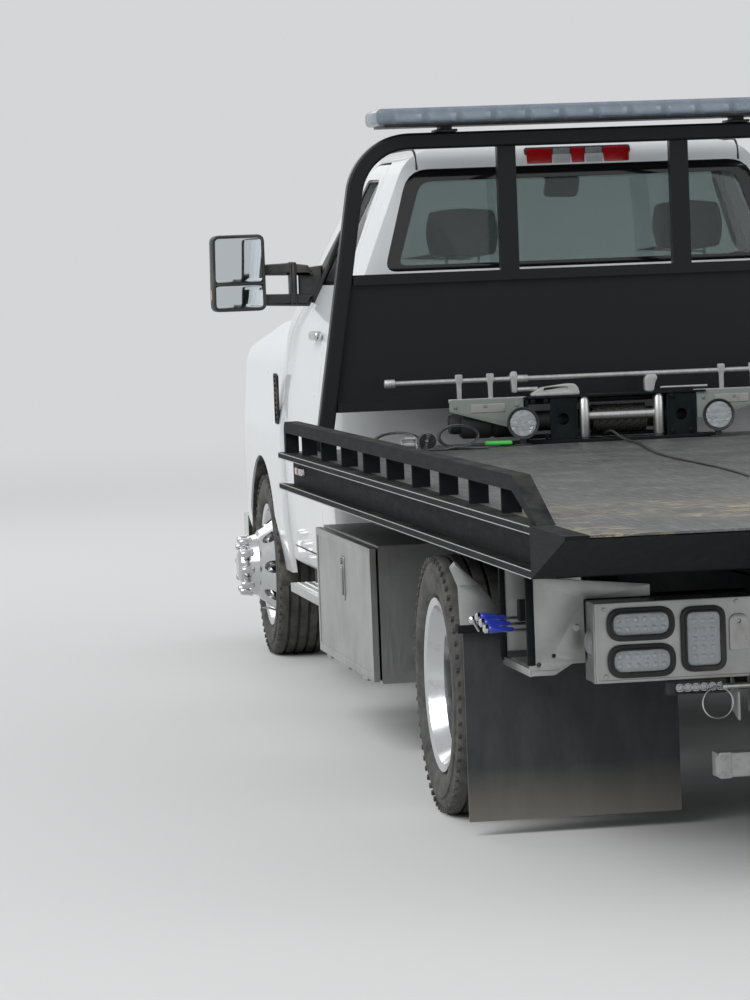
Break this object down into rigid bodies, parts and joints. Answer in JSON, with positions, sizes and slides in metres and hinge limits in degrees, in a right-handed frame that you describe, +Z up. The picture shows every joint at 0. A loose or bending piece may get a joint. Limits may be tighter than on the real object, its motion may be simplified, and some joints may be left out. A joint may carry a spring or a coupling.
{
  "type": "rollback carrier tow truck",
  "caption": "Conventional-cab rollback tow truck with a sliding, tilting flat deck, headboard, winch, toolboxes and an under-deck wheel lift.",
  "frame": {"origin": "on the floor under the middle of the whole truck, mirrors and deck included", "axes": "+X forward, +Y to the driver's left, +Z up"},
  "size_m": [8.583, 2.6352, 2.2269],
  "materials": {
    "white_paint": "clear-coated white body paint",
    "black_paint": "semi-gloss black frame and deck paint, scuffed",
    "deck_steel": "worn dark deck steel",
    "grey_green_paint": "faded grey-green winch paint",
    "stainless": "brushed stainless steel",
    "galvanised": "dull galvanised steel",
    "bare_steel": "bare steel",
    "rope_steel": "dark greasy steel wire rope",
    "polished_rim": "polished wheel metal",
    "cast_iron": "dark cast iron",
    "tyre_rubber": "dusty tyre rubber",
    "black_rubber": "black rubber sheet",
    "black_plastic": "grained black plastic",
    "dark_glass": "tinted vehicle glass",
    "lamp_clear": "clear lamp lens",
    "seat_cloth": "dark seat cloth"
  },
  "bodies": {
    "chassis": {"chassis_frame": "black_paint", "front_bumper": "polished_rim", "powertrain": "cast_iron", "drive_shaft": "cast_iron", "tanks": "black_paint", "exhaust": "bare_steel", "front_axle": "cast_iron", "rear_axle": "cast_iron", "leaf_springs": "cast_iron", "cab_shell": "white_paint", "cab_glass": "dark_glass", "seats": "seat_cloth", "dashboard": "black_plastic", "cab_steps": "black_plastic", "toolboxes": "stainless", "rear_brackets": "stainless", "mud_flaps": "black_rubber", "light_boxes": "stainless", "tail_lamps": "lamp_clear"},
    "knuckle_left": {"knuckle_left": "cast_iron"},
    "knuckle_right": {"knuckle_right": "cast_iron"},
    "tie_rod": {"tie_rod": "bare_steel"},
    "front_wheel_left": {"front_tyre_left": "tyre_rubber", "front_rim_left": "polished_rim"},
    "front_wheel_right": {"front_tyre_right": "tyre_rubber", "front_rim_right": "polished_rim"},
    "rear_wheels_left": {"rear_tyres_left": "tyre_rubber", "rear_rims_left": "polished_rim"},
    "rear_wheels_right": {"rear_tyres_right": "tyre_rubber", "rear_rims_right": "polished_rim"},
    "hood": {"hood_shell": "white_paint", "grille": "black_plastic", "headlamps": "lamp_clear"},
    "door_left": {"door_left": "white_paint", "door_glass_left": "dark_glass", "mirror_left": "black_plastic"},
    "door_right": {"door_right": "white_paint", "door_glass_right": "dark_glass", "mirror_right": "black_plastic"},
    "subframe": {"tilt_subframe": "black_paint", "slide_barrel": "black_paint"},
    "tilt_barrels": {"tilt_barrels": "black_paint"},
    "tilt_rods": {"tilt_rods": "bare_steel"},
    "deck": {"deck_plate": "deck_steel", "deck_frame": "black_paint", "tail_wedge": "black_paint", "side_rails": "black_paint", "headboard": "black_paint", "headboard_panel": "black_paint", "light_bar": "lamp_clear", "winch": "grey_green_paint", "work_lamps": "black_plastic", "winch_rope": "rope_steel", "winch_hook": "bare_steel", "slide_rod": "bare_steel"},
    "toolbox_door_left": {"toolbox_door_left": "stainless"},
    "toolbox_door_right": {"toolbox_door_right": "stainless"},
    "lift_boom": {"lift_boom": "black_paint"},
    "lift_stinger": {"lift_stinger": "galvanised"},
    "lift_crossbar": {"lift_crossbar": "galvanised"}
  },
  "joints": [
    {"name": "steer_left", "type": "hinge", "parent": "chassis", "child": "knuckle_left", "pos_m": [3.2915, 0.7, 0.388], "axis": [0, 0, 1], "range_deg": [-38, 38]},
    {"name": "steer_right", "type": "hinge", "parent": "chassis", "child": "knuckle_right", "pos_m": [3.2915, -0.7, 0.388], "axis": [0, 0, 1], "range_deg": [-38, 38]},
    {"name": "tie_rod_pivot", "type": "hinge", "parent": "knuckle_left", "child": "tie_rod", "pos_m": [3.1115, 0.7, 0.279], "axis": [0, 0, 1], "range_deg": [-38, 38]},
    {"name": "wheel_front_left", "type": "hinge", "parent": "knuckle_left", "child": "front_wheel_left", "pos_m": [3.2915, 0.9, 0.388], "axis": [0, 1, 0], "continuous": true},
    {"name": "wheel_front_right", "type": "hinge", "parent": "knuckle_right", "child": "front_wheel_right", "pos_m": [3.2915, -0.9, 0.388], "axis": [0, 1, 0], "continuous": true},
    {"name": "wheels_rear_left", "type": "hinge", "parent": "chassis", "child": "rear_wheels_left", "pos_m": [-2.1185, 0.96, 0.388], "axis": [0, 1, 0], "continuous": true},
    {"name": "wheels_rear_right", "type": "hinge", "parent": "chassis", "child": "rear_wheels_right", "pos_m": [-2.1185, -0.96, 0.388], "axis": [0, 1, 0], "continuous": true},
    {"name": "hood_tilt", "type": "hinge", "parent": "chassis", "child": "hood", "pos_m": [4.1965, 0, 0.575], "axis": [0, 1, 0], "range_deg": [0, 62]},
    {"name": "door_left_hinge", "type": "hinge", "parent": "chassis", "child": "door_left", "pos_m": [2.5695, 0.998, 1], "axis": [0, 0, -1], "range_deg": [0, 65]},
    {"name": "door_right_hinge", "type": "hinge", "parent": "chassis", "child": "door_right", "pos_m": [2.5695, -0.998, 1], "axis": [0, 0, 1], "range_deg": [0, 65]},
    {"name": "bed_tilt", "type": "hinge", "parent": "chassis", "child": "subframe", "pos_m": [-3.2185, 0, 0.772], "axis": [0, -1, 0], "range_deg": [0, 14]},
    {"name": "bed_slide", "type": "slide", "parent": "subframe", "child": "deck", "axis": [-1, 0, 0], "range_m": [0, 2.7]},
    {"name": "tilt_barrel_pivot", "type": "hinge", "parent": "chassis", "child": "tilt_barrels", "pos_m": [-1.6385, 0, 0.64], "axis": [0, -1, 0], "range_deg": [0, 34]},
    {"name": "tilt_rod_stroke", "type": "slide", "parent": "tilt_barrels", "child": "tilt_rods", "axis": [0.9908, 0, 0.1352], "range_m": [0, 0.2]},
    {"name": "toolbox_left_hinge", "type": "hinge", "parent": "chassis", "child": "toolbox_door_left", "pos_m": [0.0285, 1.146, 0.246], "axis": [-1, 0, 0], "range_deg": [0, 90]},
    {"name": "toolbox_right_hinge", "type": "hinge", "parent": "chassis", "child": "toolbox_door_right", "pos_m": [0.0285, -1.146, 0.246], "axis": [1, 0, 0], "range_deg": [0, 90]},
    {"name": "lift_tilt", "type": "hinge", "parent": "chassis", "child": "lift_boom", "pos_m": [-2.4185, 0, 0.47], "axis": [0, 1, 0], "range_deg": [-6, 8]},
    {"name": "lift_extend", "type": "slide", "parent": "lift_boom", "child": "lift_stinger", "axis": [-1, 0, 0], "range_m": [0, 0.65]},
    {"name": "crossbar_swivel", "type": "hinge", "parent": "lift_stinger", "child": "lift_crossbar", "pos_m": [-3.3235, 0, 0.252], "axis": [0, 0, 1], "range_deg": [-20, 20]}
  ],
  "couplings": [
    {"joint": "steer_right", "follows": "steer_left", "ratio": 1},
    {"joint": "tie_rod_pivot", "follows": "steer_left", "ratio": -1},
    {"joint": "tilt_barrel_pivot", "follows": "bed_tilt", "ratio": 2.3105},
    {"joint": "tilt_rod_stroke", "follows": "bed_tilt", "m_per_rad": 0.76982}
  ]
}
